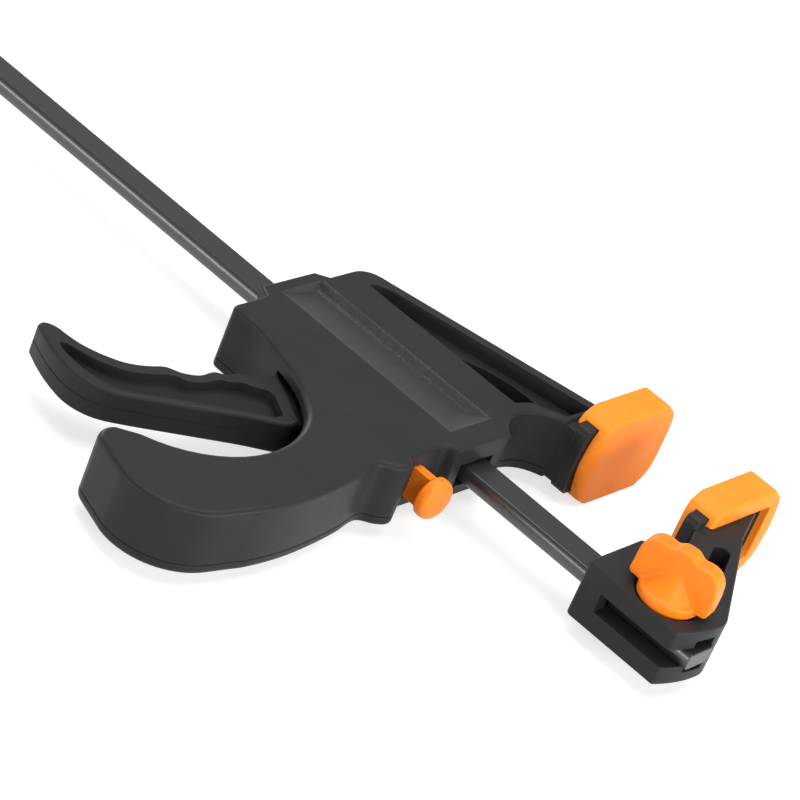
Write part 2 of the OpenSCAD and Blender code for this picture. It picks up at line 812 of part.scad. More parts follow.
module trigger_pin() {
    reach = cavity_half + 2.1;
    color(steel) on_head() translate([pivot[0], pivot[1], -reach])
        cylinder(d = trigger_pin_diameter, h = 2 * reach);
}

// ---- drive plates ----

module drive_plate() {
    along_x(0, drive_plate_thickness) difference() {
        translate([drive_plate_foot, -steel_plate_width / 2])
            square([drive_plate_top - drive_plate_foot, steel_plate_width]);
        square([bar_height + 2 * sliding_fit, bar_thickness + 2 * sliding_fit], center = true);
    }
}

module drive_plate_front() {
    color(steel) on_head() translate([drive_front - drive_plate_thickness, 0, 0]) drive_plate();
}

module drive_plate_rear() {
    color(steel) on_head() translate([drive_rear, 0, 0]) drive_plate();
}

// ---- release button and brake plate ----

module release_button() {
    head = button_diameter / 2;
    color(orange) on_head() translate([0, button_y, 0]) {
        // the head, slightly domed
        translate([button_back, 0, 0]) rotate([0, 90, 0]) rotate_extrude() polygon(concat(
            [[0, 0], [head - 0.6, 0], [head, 0.6]],
            arc([head - 2.2, 2.2], 2.2, 0, 65, 6),
            [[0, 4.7]]));
        translate([flange_back, -button_stem / 2, -button_stem_width / 2])
            cube([button_back - flange_back + 0.5, button_stem, button_stem_width]);
        // the flange that keeps the stem in the head
        translate([flange_back, -4.2, -button_stem_width / 2])
            cube([button_flange, 7.4, button_stem_width]);
    }
}

module brake_plate() {
    half = brake_plate_thickness / 2;
    hole = (bar_height + 2 * sliding_fit + brake_plate_thickness * sin(brake_tilt)) / cos(brake_tilt)
           + 2 * brake_pivot[1] * (1 - cos(brake_tilt));
    color(steel) on_head() translate([brake_pivot[0], brake_pivot[1], 0]) rotate(brake_tilt)
        difference() {
            union() {
                translate([-half, -brake_arm, -steel_plate_width / 2])
                    cube([brake_plate_thickness, brake_arm, steel_plate_width]);
                both_sides(steel_plate_width) circle(brake_head_radius);
            }
            translate([-half - 1, -brake_pivot[1] - hole / 2, -bar_thickness / 2 - sliding_fit])
                cube([brake_plate_thickness + 2, hole, bar_thickness + 2 * sliding_fit]);
        }
}

// ---- springs ----

// a coil of round wire along X, from one end to the other
module coil(from, to, diameter, turns) {
    sides = 6;
    rings_per_turn = 16;
    mean = (diameter - spring_wire) / 2;
    wire = spring_wire / 2;
    run = to - from - spring_wire;
    rings = turns * rings_per_turn;
    points = [for (i = [0 : rings], k = [0 : sides - 1])
        let (turn = 360 * i / rings_per_turn,
             side = 360 * k / sides,
             radius = mean + wire * cos(side))
        [from + wire + run * i / rings + wire * sin(side), radius * cos(turn), radius * sin(turn)]];
    walls = [for (i = [0 : rings - 1], k = [0 : sides - 1])
        let (next = (k + 1) % sides)
        [i * sides + k, i * sides + next, (i + 1) * sides + next, (i + 1) * sides + k]];
    ends = [[for (k = [sides - 1 : -1 : 0]) k],
            [for (k = [0 : sides - 1]) rings * sides + k]];
    polyhedron(points, concat(walls, ends));
}

module drive_spring() {
    color(steel) on_head() translate([0, spring_y, 0])
        coil(spring_seat_rear + 0.1, drive_rear - 0.1, drive_spring_diameter, 7);
}

module brake_spring() {
    drop = brake_pivot[1] - brake_spring_y;
    half = brake_plate_thickness / 2;
    // the tilted plate's rear face is furthest back at the spring's upper edge
    back = brake_pivot[0] + (drop - brake_spring_diameter / 2) * tan(brake_tilt)
           - half / cos(brake_tilt);
    color(steel) on_head() translate([0, brake_spring_y, 0])
        coil(brake_spring_seat + 0.1, back - 0.1, brake_spring_diameter, 5);
}

bar();
bar_stop_pin();
fixed_jaw();
fixed_pad();
knob_nut();
wing_knob();
knob_screw();
housing_shell();
housing_cover();
cover_screws();
moving_pad();
trigger();
trigger_pin();
drive_plate_front();
drive_plate_rear();
drive_spring();
release_button();
brake_plate();
brake_spring();
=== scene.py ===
# %% [markdown]
# # Quick release bar clamp
# The clamp lies on its side on a pale floor: a black steel bar, a sliding head with grip and
# trigger moulded in black nylon, a fixed jaw, two orange pads, an orange wing knob and an
# orange release button. The CAD frame gives every piece its place. This notebook models what
# the eye sees of each moulding again, with its rounded rims, and gives every piece its finish.

# %% Load the frame
import math
import bmesh
import bpy
from mathutils import Matrix, Vector


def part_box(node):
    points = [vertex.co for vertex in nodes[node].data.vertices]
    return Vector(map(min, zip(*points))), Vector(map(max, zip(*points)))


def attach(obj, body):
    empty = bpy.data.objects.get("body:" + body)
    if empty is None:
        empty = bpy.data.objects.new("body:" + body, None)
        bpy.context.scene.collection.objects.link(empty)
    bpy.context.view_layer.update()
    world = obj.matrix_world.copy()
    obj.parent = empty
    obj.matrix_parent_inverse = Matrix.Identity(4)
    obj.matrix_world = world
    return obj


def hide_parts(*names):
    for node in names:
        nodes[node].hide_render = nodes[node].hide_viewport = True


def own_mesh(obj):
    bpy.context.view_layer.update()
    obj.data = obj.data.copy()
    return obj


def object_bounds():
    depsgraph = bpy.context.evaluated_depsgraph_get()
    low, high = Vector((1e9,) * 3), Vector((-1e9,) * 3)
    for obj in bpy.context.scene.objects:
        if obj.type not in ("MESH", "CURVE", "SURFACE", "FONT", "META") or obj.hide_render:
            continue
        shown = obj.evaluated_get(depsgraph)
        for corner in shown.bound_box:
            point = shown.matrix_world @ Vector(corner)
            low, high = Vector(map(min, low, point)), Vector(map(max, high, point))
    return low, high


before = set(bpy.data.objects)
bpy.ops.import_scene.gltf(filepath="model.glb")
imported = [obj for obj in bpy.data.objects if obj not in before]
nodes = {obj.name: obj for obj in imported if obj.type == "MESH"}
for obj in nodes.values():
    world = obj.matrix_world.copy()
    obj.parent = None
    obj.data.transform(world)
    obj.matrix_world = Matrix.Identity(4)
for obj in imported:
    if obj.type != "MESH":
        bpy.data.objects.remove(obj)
cad_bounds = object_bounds()
print("nodes:", len(nodes), "CAD box:", cad_bounds)

# %% [markdown]
# Two frames are handy for measuring. On both, y = 0 is the bar's axis, and x = 0 is the
# clamping face of the jaw that a piece belongs to. Everything is drawn in millimetres in one
# of these, and is put in its place in metres at the end. The distances come from the frame.

# %% Millimetres on the bar and on the head
bar_low, bar_high = (corner * 1000 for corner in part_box("bar"))
axis_y = (bar_low.y + bar_high.y) / 2
opening = -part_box("moving_pad")[1].x * 1000
reach = -axis_y
ON_BAR = Matrix.Scale(0.001, 4) @ Matrix.Translation((0, axis_y, 0))
ON_HEAD = Matrix.Scale(0.001, 4) @ Matrix.Translation((-opening, axis_y, 0))
print("axis", round(axis_y, 2), "opening", round(opening, 2))

# %% [markdown]
# A moulding's outline is made of straight lines, arcs and free curves. `arc` gives the points
# of an arc, `smooth` a curve through the points it is given, and `smooth_loop` a closed one.

# %% Points of an outline
def arc(centre, radius, start, end, steps=12):
    """Points of an arc about a centre, from one angle to another in degrees."""
    turn = [math.radians(start + (end - start) * i / steps) for i in range(steps + 1)]
    return [(centre[0] + radius * math.cos(a), centre[1] + radius * math.sin(a)) for a in turn]


def between(a, b, c, d, steps):
    """Points from b towards c of the smooth curve through all four."""
    a, b, c, d = Vector(a), Vector(b), Vector(c), Vector(d)
    points = []
    for i in range(steps):
        t = i / steps
        curve = 2 * b + (c - a) * t + (2 * a - 5 * b + 4 * c - d) * t ** 2
        points.append(tuple((curve + (3 * b - a - 3 * c + d) * t ** 3) / 2))
    return points


def smooth(points, steps=4):
    """A smooth curve through all but the first and the last of the points."""
    fours = zip(points, points[1:], points[2:], points[3:])
    return [point for four in fours for point in between(*four, steps)]


def smooth_loop(points, steps=3):
    """A smooth closed curve through all the points."""
    return smooth([points[-1]] + list(points) + list(points[:2]), steps)


# %% [markdown]
# Most mouldings start as a flat outline pushed up to a thickness, so `slab` makes one face and
# extrudes it. The outline may lie across any axis: `across` names the axis it is pushed along.

# %% A slab from an outline
PLANES = {
    "x": Matrix(((0, 0, 1, 0), (1, 0, 0, 0), (0, 1, 0, 0), (0, 0, 0, 1))),
    "y": Matrix(((1, 0, 0, 0), (0, 0, -1, 0), (0, 1, 0, 0), (0, 0, 0, 1))),
    "z": Matrix.Identity(4),
}


def slab(outline, low, high, across="z"):
    """A bmesh: the outline's face at the low end, extruded to the high end."""
    bm = bmesh.new()
    face = bm.faces.new([bm.verts.new((p[0], p[1], low)) for p in outline])
    grown = bmesh.ops.extrude_face_region(bm, geom=[face])["geom"]
    top = [item for item in grown if isinstance(item, bmesh.types.BMVert)]
    bmesh.ops.translate(bm, verts=top, vec=(0, 0, high - low))
    bmesh.ops.transform(bm, verts=bm.verts, matrix=PLANES[across])
    bmesh.ops.recalc_face_normals(bm, faces=bm.faces)
    return bm


def box(low, high):
    """A bmesh box between two corners."""
    bm = bmesh.new()
    low, high = Vector(low), Vector(high)
    size = Matrix.Diagonal((*(high - low), 1))
    bmesh.ops.create_cube(bm, size=1, matrix=Matrix.Translation((low + high) / 2) @ size)
    return bm


def rod(centre, radius, low, high, sides=48, top_radius=None):
    """A bmesh cylinder or cone that stands along Z."""
    bm = bmesh.new()
    place = Matrix.Translation((centre[0], centre[1], (low + high) / 2))
    bmesh.ops.create_cone(bm, cap_ends=True, segments=sides, radius1=radius,
                          radius2=radius if top_radius is None else top_radius,
                          depth=high - low, matrix=place)
    return bm


# %% [markdown]
# A bmesh becomes an object with `solid`. Openings are cut and parts are joined with the exact
# Boolean, and the result is kept as the object's own mesh, so that the later steps can work on
# it. `bake` does that for any modifier.

# %% Solids, cuts and joints
def solid(bm, name="tool"):
    """An object from a bmesh, still in millimetres."""
    mesh = bpy.data.meshes.new(name)
    bm.to_mesh(mesh)
    bm.free()
    obj = bpy.data.objects.new(name, mesh)
    bpy.context.scene.collection.objects.link(obj)
    return obj


def bake(obj):
    """Keeps what the modifiers make as the object's mesh."""
    graph = bpy.context.evaluated_depsgraph_get()
    mesh = bpy.data.meshes.new_from_object(obj.evaluated_get(graph))
    obj.modifiers.clear()
    old, obj.data = obj.data, mesh
    bpy.data.meshes.remove(old)
    return obj


def combine(obj, bm, operation="DIFFERENCE"):
    """Cuts a bmesh out of an object, joins it on, or keeps what both share."""
    tool = solid(bm)
    step = obj.modifiers.new("step", "BOOLEAN")
    step.operation, step.solver, step.object = operation, "EXACT", tool
    bake(obj)
    bpy.data.objects.remove(tool)
    return obj


def join(obj, bm):
    return combine(obj, bm, "UNION")


def taken_from(obj):
    """The object's mesh as a bmesh; the object goes."""
    bm = bmesh.new()
    bm.from_mesh(obj.data)
    bpy.data.objects.remove(obj)
    return bm


# %% [markdown]
# No moulded or rolled edge is quite sharp: a small radius catches the light. `round_rims` bevels
# the edges sharper than an angle. `rim_weights` gives the rim of a slab a radius of its own at
# every point of the outline, as on a grip that is rounder on the palm's side.

# %% Rounded edges
def tidy(obj, flat=0.5):
    """Merges doubles and dissolves edges between faces in one plane."""
    bm = bmesh.new()
    bm.from_mesh(obj.data)
    bmesh.ops.remove_doubles(bm, verts=bm.verts, dist=0.004)
    bmesh.ops.dissolve_degenerate(bm, edges=bm.edges, dist=0.004)
    bmesh.ops.dissolve_limit(bm, angle_limit=math.radians(flat), verts=bm.verts, edges=bm.edges)
    bm.to_mesh(obj.data)
    bm.free()
    return obj


def round_rims(obj, width, angle=35, segments=3, choose=None, clamp=True):
    """Rounds the edges sharper than an angle, all of them or those that choose() accepts."""
    bm = bmesh.new()
    bm.from_mesh(obj.data)
    weight = bm.edges.layers.float.get("bevel_weight_edge")
    weight = weight or bm.edges.layers.float.new("bevel_weight_edge")
    count = 0
    for edge in bm.edges:
        middle = (edge.verts[0].co + edge.verts[1].co) / 2
        sharp = edge.is_manifold and edge.calc_face_angle(0) > math.radians(angle)
        chosen = sharp and (choose is None or choose(middle, edge))
        edge[weight] = 1 if chosen else 0
        count += chosen
    bm.to_mesh(obj.data)
    bm.free()
    step = obj.modifiers.new("rims", "BEVEL")
    step.limit_method, step.width, step.segments = "WEIGHT", width, segments
    step.use_clamp_overlap = clamp
    bake(obj)
    return count


def round_by_point(obj, radii, level, largest, segments=5):
    """Rounds a slab's rim at one level, with a radius for each point of its outline."""
    bm = bmesh.new()
    bm.from_mesh(obj.data)
    weight = bm.edges.layers.float.get("bevel_weight_edge")
    weight = weight or bm.edges.layers.float.new("bevel_weight_edge")
    wanted = {(round(x, 3), round(y, 3)): radius for (x, y), radius in radii}
    for edge in bm.edges:
        edge[weight] = 0
        a, b = (vert.co for vert in edge.verts)
        if abs(a.z - level) < 0.001 and abs(b.z - level) < 0.001:
            ends = [wanted.get((round(v.x, 3), round(v.y, 3)), 0) for v in (a, b)]
            edge[weight] = min(sum(ends) / 2, largest) / largest
    bm.to_mesh(obj.data)
    bm.free()
    step = obj.modifiers.new("rim", "BEVEL")
    step.limit_method, step.width, step.segments = "WEIGHT", largest, segments
    step.use_clamp_overlap = False
    return bake(obj)


def softened(obj, voxel, rounds):
    """A soft skin: even small quads, smoothed until no edge is left."""
    skin = obj.modifiers.new("skin", "REMESH")
    skin.mode, skin.voxel_size = "VOXEL", voxel
    soft = obj.modifiers.new("soft", "SMOOTH")
    soft.factor, soft.iterations = 0.5, rounds
    return bake(obj)


# %% [markdown]
# A finished piece goes to its place in metres. Its faces are shaded smooth, with the edges
# sharper than an angle kept, it takes its finishes, it hangs under the body that it moves with,
# and the CAD nodes that it stands for are hidden.

# %% A finished piece
def finish_piece(obj, name, place, body, stands_for, finishes, angle=32):
    """Puts a piece in its place, under its body, and hides the CAD nodes it stands for."""
    obj.name = obj.data.name = name
    obj.data.transform(place)
    for finish in finishes:
        obj.data.materials.append(finish)
    obj.data.shade_smooth()
    obj.data.set_sharp_from_angle(angle=math.radians(angle))
    even = obj.modifiers.new("even shading", "WEIGHTED_NORMAL")
    even.keep_sharp, even.weight = True, 80
    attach(obj, body)
    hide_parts(*stands_for)
    print(name, "faces:", len(obj.data.polygons))
    return obj


# %% [markdown]
# ## Finishes
# Moulded nylon has a fine spark-eroded grain, slight flow marks and spots polished by hands.
# The grain and the flow marks are node groups, so that every plastic on the clamp shares them
# with its own values. Each group only puts out a height or a mask.

# %% Node helpers
def group_of(name, inputs, outputs):
    """A new shader node group with named sockets, and its ends."""
    group = bpy.data.node_groups.new(name, "ShaderNodeTree")
    for socket, kind, value in inputs:
        made = group.interface.new_socket(socket, in_out="INPUT", socket_type=kind)
        if value is not None:
            made.default_value = value
    for socket, kind in outputs:
        group.interface.new_socket(socket, in_out="OUTPUT", socket_type=kind)
    return group, group.nodes.new("NodeGroupInput"), group.nodes.new("NodeGroupOutput")


def add(tree, kind, **values):
    """A new node whose inputs and settings are given by name."""
    node = tree.nodes.new(kind)
    for key, value in values.items():
        socket = node.inputs.get(key.replace("_", " ").title())
        if socket is not None and not hasattr(node, key):
            socket.default_value = value
        else:
            setattr(node, key, value)
    return node


def wire(tree, start, end):
    tree.links.new(start, end)


# %% A grain of two sizes
grain, ends_in, ends_out = group_of(
    "moulded grain",
    [("Size", "NodeSocketFloat", 0.3), ("Coarseness", "NodeSocketFloat", 0.5)],
    [("Height", "NodeSocketFloat")])
coords = add(grain, "ShaderNodeTexCoord")
scale = add(grain, "ShaderNodeMath", operation="DIVIDE")
scale.inputs[0].default_value = 1000
wire(grain, ends_in.outputs["Size"], scale.inputs[1])
fine = add(grain, "ShaderNodeTexNoise", detail=3, roughness=0.6)
pits = add(grain, "ShaderNodeTexVoronoi", feature="SMOOTH_F1", smoothness=0.6)
mixed = add(grain, "ShaderNodeMix", data_type="FLOAT")
for texture in (fine, pits):
    wire(grain, coords.outputs["Object"], texture.inputs["Vector"])
    wire(grain, scale.outputs[0], texture.inputs["Scale"])
wire(grain, ends_in.outputs["Coarseness"], mixed.inputs[0])
wire(grain, fine.outputs["Fac"], mixed.inputs[2])
wire(grain, pits.outputs["Distance"], mixed.inputs[3])
wire(grain, mixed.outputs[0], ends_out.inputs["Height"])

# %% Flow marks and handling
handling, ends_in, ends_out = group_of(
    "handling", [("Size", "NodeSocketFloat", 18.0), ("Low", "NodeSocketFloat", 0.3),
                 ("High", "NodeSocketFloat", 0.7)], [("Mask", "NodeSocketFloat")])
coords = add(handling, "ShaderNodeTexCoord")
scale = add(handling, "ShaderNodeMath", operation="DIVIDE")
scale.inputs[0].default_value = 1000
wire(handling, ends_in.outputs["Size"], scale.inputs[1])
clouds = add(handling, "ShaderNodeTexNoise", detail=4, roughness=0.55, distortion=0.4)
spread = add(handling, "ShaderNodeMapRange")
wire(handling, coords.outputs["Object"], clouds.inputs["Vector"])
wire(handling, scale.outputs[0], clouds.inputs["Scale"])
wire(handling, clouds.outputs["Fac"], spread.inputs["Value"])
wire(handling, ends_in.outputs["Low"], spread.inputs["From Min"])
wire(handling, ends_in.outputs["High"], spread.inputs["From Max"])
wire(handling, spread.outputs["Result"], ends_out.inputs["Mask"])

# %% [markdown]
# A plastic takes two shades, two roughnesses, and the size and depth of its grain. The shades
# lie close together: the eye should read one colour that is alive, not spots.

# %% Moulded plastics
def ramp_between(tree, mask, low, high):
    """A colour or number that goes from low to high with the mask."""
    kind = "RGBA" if hasattr(low, "__len__") else "FLOAT"
    mix = add(tree, "ShaderNodeMix", data_type=kind)
    a, b, out = (6, 7, 2) if kind == "RGBA" else (2, 3, 0)
    mix.inputs[a].default_value = (*low, 1) if kind == "RGBA" else low
    mix.inputs[b].default_value = (*high, 1) if kind == "RGBA" else high
    wire(tree, mask, mix.inputs[0])
    return mix.outputs[out]


def plastic(name, shades, roughness, grain_size, grain_depth, coarseness=0.5,
            marks=18.0, specular=0.5):
    """A moulded plastic."""
    material = bpy.data.materials.new(name)
    material.use_nodes = True
    tree = material.node_tree
    shader = tree.nodes["Principled BSDF"]
    shader.inputs["Specular IOR Level"].default_value = specular
    flow = add(tree, "ShaderNodeGroup", node_tree=handling)
    flow.inputs["Size"].default_value = marks
    wire(tree, ramp_between(tree, flow.outputs["Mask"], *shades), shader.inputs["Base Color"])
    wire(tree, ramp_between(tree, flow.outputs["Mask"], *roughness), shader.inputs["Roughness"])
    skin = add(tree, "ShaderNodeGroup", node_tree=grain)
    skin.inputs["Size"].default_value = grain_size
    skin.inputs["Coarseness"].default_value = coarseness
    bump = add(tree, "ShaderNodeBump")
    bump.inputs["Strength"].default_value = 1.0
    bump.inputs["Distance"].default_value = grain_depth / 1000
    wire(tree, skin.outputs["Height"], bump.inputs["Height"])
    wire(tree, bump.outputs["Normal"], shader.inputs["Normal"])
    return material


black_nylon = plastic("black nylon", [(0.020, 0.020, 0.0205), (0.025, 0.025, 0.0255)],
                      (0.44, 0.38), 0.35, 0.008, specular=0.12)
grained_nylon = plastic("grained nylon", [(0.022, 0.022, 0.0225), (0.030, 0.030, 0.0305)],
                        (0.50, 0.42), 0.8, 0.2, coarseness=0.5, specular=0.4)
orange_rubber = plastic("orange rubber", [(1.0, 0.26, 0.012), (1.0, 0.29, 0.020)],
                        (0.55, 0.48), 0.4, 0.01, marks=9.0, specular=0.25)
orange_plastic = plastic("orange plastic", [(1.0, 0.22, 0.008), (1.0, 0.25, 0.014)],
                         (0.42, 0.36), 0.4, 0.006, marks=9.0, specular=0.25)
for material, glow_depth in ((orange_rubber, 0.0012), (orange_plastic, 0.0010)):
    shader = material.node_tree.nodes["Principled BSDF"]
    shader.inputs["Subsurface Weight"].default_value = 0.3
    shader.inputs["Subsurface Radius"].default_value = (1.0, 0.35, 0.08)
    shader.inputs["Subsurface Scale"].default_value = glow_depth

# %% [markdown]
# The steel parts are never seen as a flat grey either. Rolled, ground and drawn steel all carry
# fine lines along the way they were worked, so one group makes lines along an axis. It squeezes
# a noise across that axis.

# %% Lines of worked steel
lines, ends_in, ends_out = group_of(
    "worked lines", [("Stretch", "NodeSocketVector", None), ("Size", "NodeSocketFloat", 1.0)],
    [("Mask", "NodeSocketFloat")])
coords = add(lines, "ShaderNodeTexCoord")
squeeze = add(lines, "ShaderNodeVectorMath", operation="MULTIPLY")
scale = add(lines, "ShaderNodeMath", operation="DIVIDE")
scale.inputs[0].default_value = 1000
streaks = add(lines, "ShaderNodeTexNoise", detail=3, roughness=0.65)
wire(lines, coords.outputs["Object"], squeeze.inputs[0])
wire(lines, ends_in.outputs["Stretch"], squeeze.inputs[1])
wire(lines, ends_in.outputs["Size"], scale.inputs[1])
wire(lines, squeeze.outputs[0], streaks.inputs["Vector"])
wire(lines, scale.outputs[0], streaks.inputs["Scale"])
wire(lines, streaks.outputs["Fac"], ends_out.inputs["Mask"])


# %% Steels
def metal(name, shades, roughness, metallic, stretch, size, depth=0.002, specular=0.5):
    """A worked steel with lines across the stretched axes."""
    material = bpy.data.materials.new(name)
    material.use_nodes = True
    tree = material.node_tree
    shader = tree.nodes["Principled BSDF"]
    shader.inputs["Metallic"].default_value = metallic
    shader.inputs["Specular IOR Level"].default_value = specular
    worked = add(tree, "ShaderNodeGroup", node_tree=lines)
    worked.inputs["Stretch"].default_value = stretch
    worked.inputs["Size"].default_value = size
    mask = worked.outputs["Mask"]
    wire(tree, ramp_between(tree, mask, *shades), shader.inputs["Base Color"])
    wire(tree, ramp_between(tree, mask, *roughness), shader.inputs["Roughness"])
    bump = add(tree, "ShaderNodeBump")
    bump.inputs["Distance"].default_value = depth / 1000
    wire(tree, mask, bump.inputs["Height"])
    wire(tree, bump.outputs["Normal"], shader.inputs["Normal"])
    return material


bar_steel = metal("blackened bar steel", [(0.017, 0.017, 0.0175), (0.020, 0.020, 0.0205)],
                  (0.31, 0.27), 0.0, (0.03, 1, 1), 0.8, depth=0.0005, specular=0.85)
bright_steel = metal("zinc plated steel", [(0.50, 0.51, 0.53), (0.62, 0.63, 0.65)],
                     (0.34, 0.24), 1.0, (1, 1, 0.1), 0.6)
plate_steel = metal("hardened plate steel", [(0.30, 0.30, 0.31), (0.42, 0.42, 0.43)],
                    (0.42, 0.30), 1.0, (1, 0.08, 1), 0.7)
spring_steel = metal("drawn spring steel", [(0.42, 0.42, 0.43), (0.55, 0.55, 0.56)],
                     (0.34, 0.22), 1.0, (1, 1, 1), 0.5)
print("finishes:", len(bpy.data.materials))

# %% [markdown]
# ## Bar
# The bar is rolled flat steel with a black finish. Its narrow edges are slightly crowned by the
# rolls, so its section is a rectangle with two shallow arcs. The section is pushed along X, the
# stud's and the stop pin's holes are drilled, and the long corners get a small radius.

# %% Bar
bar_half, bar_thick, crown = 5.3, 2.5, 1.0
crown_radius = (bar_thick ** 2 + crown ** 2) / (2 * crown)
crown_angle = math.degrees(math.asin(bar_thick / crown_radius))
edge = arc((bar_half - crown_radius, 0), crown_radius, -crown_angle, crown_angle, 12)
section = edge + [(-y, -z) for y, z in edge]
bar = solid(slab(section, bar_low.x, bar_high.x, "x"))
combine(bar, rod((24.6, 0), 2.58, -4, 4))
combine(bar, rod((bar_low.x + 6, 0), 1.5, -4, 4, 24))
round_rims(bar, 0.3, angle=40, clamp=False)
finish_piece(bar, "flat_bar", ON_BAR, "bar", ["bar"], [bar_steel])

# %% [markdown]
# ## Pads
# Both pads are the same soft rubber moulding, slid over the jaw plate. Seen along the bar a pad
# is a narrow shield: round at the heel, with short chamfers at the tip. Seen from the side its
# face rolls back towards the bar. The two outlines are pushed through each other, what both
# share is kept, and all rims get a soft radius.

# %% Pad's outlines
pad_low, pad_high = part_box("moving_pad")
pad_half = (pad_high.z - pad_low.z) * 500
heel = pad_low.y * 1000 + reach
tip = pad_high.y * 1000 + reach
depth = (pad_high.x - pad_low.x) * 1000
heel_radius, face = 26, 3.3
heel_angle = math.degrees(math.asin(12 / heel_radius))
heel_y = heel + heel_radius * (1 - math.cos(math.radians(heel_angle)))
tip_radius = (9.4 ** 2 + 1.3 ** 2) / (2 * 1.3)
tip_angle = math.degrees(math.asin(9.4 / tip_radius))
pad_front = (arc((heel + heel_radius, 0), heel_radius, 180 - heel_angle, 180 + heel_angle, 10)
             + [(heel_y + 4, -pad_half), (tip - 6, -pad_half), (tip - 2.6, -pad_half + 2.7)]
             + arc((tip - tip_radius, 0), tip_radius, -tip_angle, tip_angle, 8)
             + [(tip - 2.6, pad_half - 2.7), (tip - 6, pad_half), (heel_y + 4, pad_half)])
pad_side = ([(-depth, heel)] + arc((-face, heel + face), face, -90, 0, 8)
            + [(0, tip - 0.8), (-0.8, tip), (-depth, tip)])


# %% Pads
def plate_shape(grow=0.0, corner=2.2):
    """The jaw plate's outline: a shallow curve at the heel, round there and cut at the tip."""
    half, lip = 10.9 + grow, heel - 2.5 - grow
    angle = math.degrees(math.asin((half - corner) / 80))
    inset = lip + 80 * (1 - math.cos(math.radians(angle))) + corner
    end = tip - 3.8 + grow
    return (arc((inset, half - corner), corner, 90, 180, 4)
            + arc((lip + 80, 0), 80, 180 - angle, 180 + angle, 8)[1:-1]
            + arc((inset, corner - half), corner, 180, 270, 4)
            + [(end - 2.5, -half), (end, -half + 2.5), (end, half - 2.5), (end - 2.5, half)])


def rounded(bm, width, segments=3):
    """The same solid with all its sharp edges rounded."""
    obj = solid(bm)
    round_rims(obj, width, angle=30, segments=segments, clamp=False)
    return taken_from(obj)


def pad():
    """A pad for the moving jaw, its face at x = 0."""
    piece = solid(slab(pad_front, -depth, 0, "x"))
    side = slab([(x, -z) for x, z in pad_side], -pad_half, pad_half)
    bmesh.ops.scale(side, verts=side.verts, vec=(1, -1, 1))
    bmesh.ops.reverse_faces(side, faces=side.faces)
    combine(piece, side, "INTERSECT")
    tidy(piece)
    softened(piece, 0.42, 22)
    combine(piece, slab(plate_shape(0.1), -8.1, -face, "x"))
    combine(piece, rounded(box((-8.1, 0, -11), (-face, reach, 11)), 0.5))
    combine(piece, rounded(box((-13, -8, -9), (-7.4, tip - 6, 9)), 1.6))
    round_rims(piece, 0.35, angle=50, segments=2, clamp=False)
    return piece


moving_pad = finish_piece(pad(), "moving_jaw_pad", ON_HEAD, "head", ["moving_pad"],
                          [orange_rubber])
other = pad()
flip = bmesh.new()
flip.from_mesh(other.data)
bmesh.ops.scale(flip, verts=flip.verts, vec=(-1, 1, 1))
bmesh.ops.reverse_faces(flip, faces=flip.faces)
flip.to_mesh(other.data)
flip.free()
finish_piece(other, "fixed_jaw_pad", ON_BAR, "bar", ["fixed_pad"],
             [orange_rubber])

# %% [markdown]
# ## Fixed jaw
# One nylon moulding carries the second pad. The bar ends inside it, a long window shows the
# bar's edge, and a slanted slot saves material. Its plan is pushed up to the jaw's thickness,
# the jaw plate is joined on, and the openings are cut before the rims are rounded.

# %% Fixed jaw
jaw_half = 8.9
plate_back = face + 0.1 + 4.6
nose_centre = (31 + 8.4 - 40, 5.8)
near_angle = math.degrees(math.asin((10.4 + 5.8) / 40))
jaw_plan = (arc((6.1, -8.8), 1.6, 180, 270, 4) + arc(nose_centre, 40, -near_angle, 0, 8)[:-1]
            + arc((31, 5.8), 8.4, 0, 32, 6)
            + [(19.4, reach - 13.3), (16.5, reach - 8.8), (10.2, reach + 5.3),
               (plate_back - 1, reach + 6.4), (plate_back - 1, heel - 2.5),
               (plate_back, heel - 2.5)]
            + arc((-1.5, reach - 29.8), 12.6, 43, -61, 12) + [(4.5, 12.5)])
jaw = solid(slab(jaw_plan, -jaw_half, jaw_half))
round_rims(jaw, 0.7, angle=24, segments=3, clamp=False)
join(jaw, rounded(slab(plate_shape(), face + 0.1, plate_back, "x"), 0.4))
combine(jaw, box((0, -5.4, -2.6), (bar_high.x + 5, 5.4, 2.6)))
combine(jaw, box((12, -12, -2.9), (45, 0, 2.9)))
combine(jaw, box((bar_high.x - 9, -2.2, -5.2), (bar_high.x + 8, 4.8, 5.2)))
slot_ends = [(18.2, reach - 21.4), (23.6, reach - 32.6)]
lean = math.degrees(math.atan2(slot_ends[1][1] - slot_ends[0][1],
                               slot_ends[1][0] - slot_ends[0][0]))
slot = arc(slot_ends[1], 2.5, lean - 90, lean + 90) + arc(slot_ends[0], 2.5, lean + 90, lean + 270)
combine(jaw, slab(slot, -20, 20))
combine(jaw, rod((24.6, 0), 9.7, jaw_half - 1.2, jaw_half + 1, 64))
combine(jaw, rod((24.6, 0), 2.58, -10, 10))
combine(jaw, rod((24.6, 0), 8.2 / math.cos(math.radians(30)) / 2, -10, -4.9, 6))
tidy(jaw)
round_rims(jaw, 0.22, angle=55, segments=2, clamp=False)
finish_piece(jaw, "fixed_jaw_moulding", ON_BAR, "bar", ["fixed_jaw"],
             [black_nylon])

# %% [markdown]
# ## Wing knob
# The knob is one moulding: a disc, a low cone, and a wing with two side lobes and a taller hump
# between them, all running softly into each other. Such a blend is hard to bevel, so the rough
# shapes are joined, remeshed to an even skin of small quads and smoothed, as clay would be.

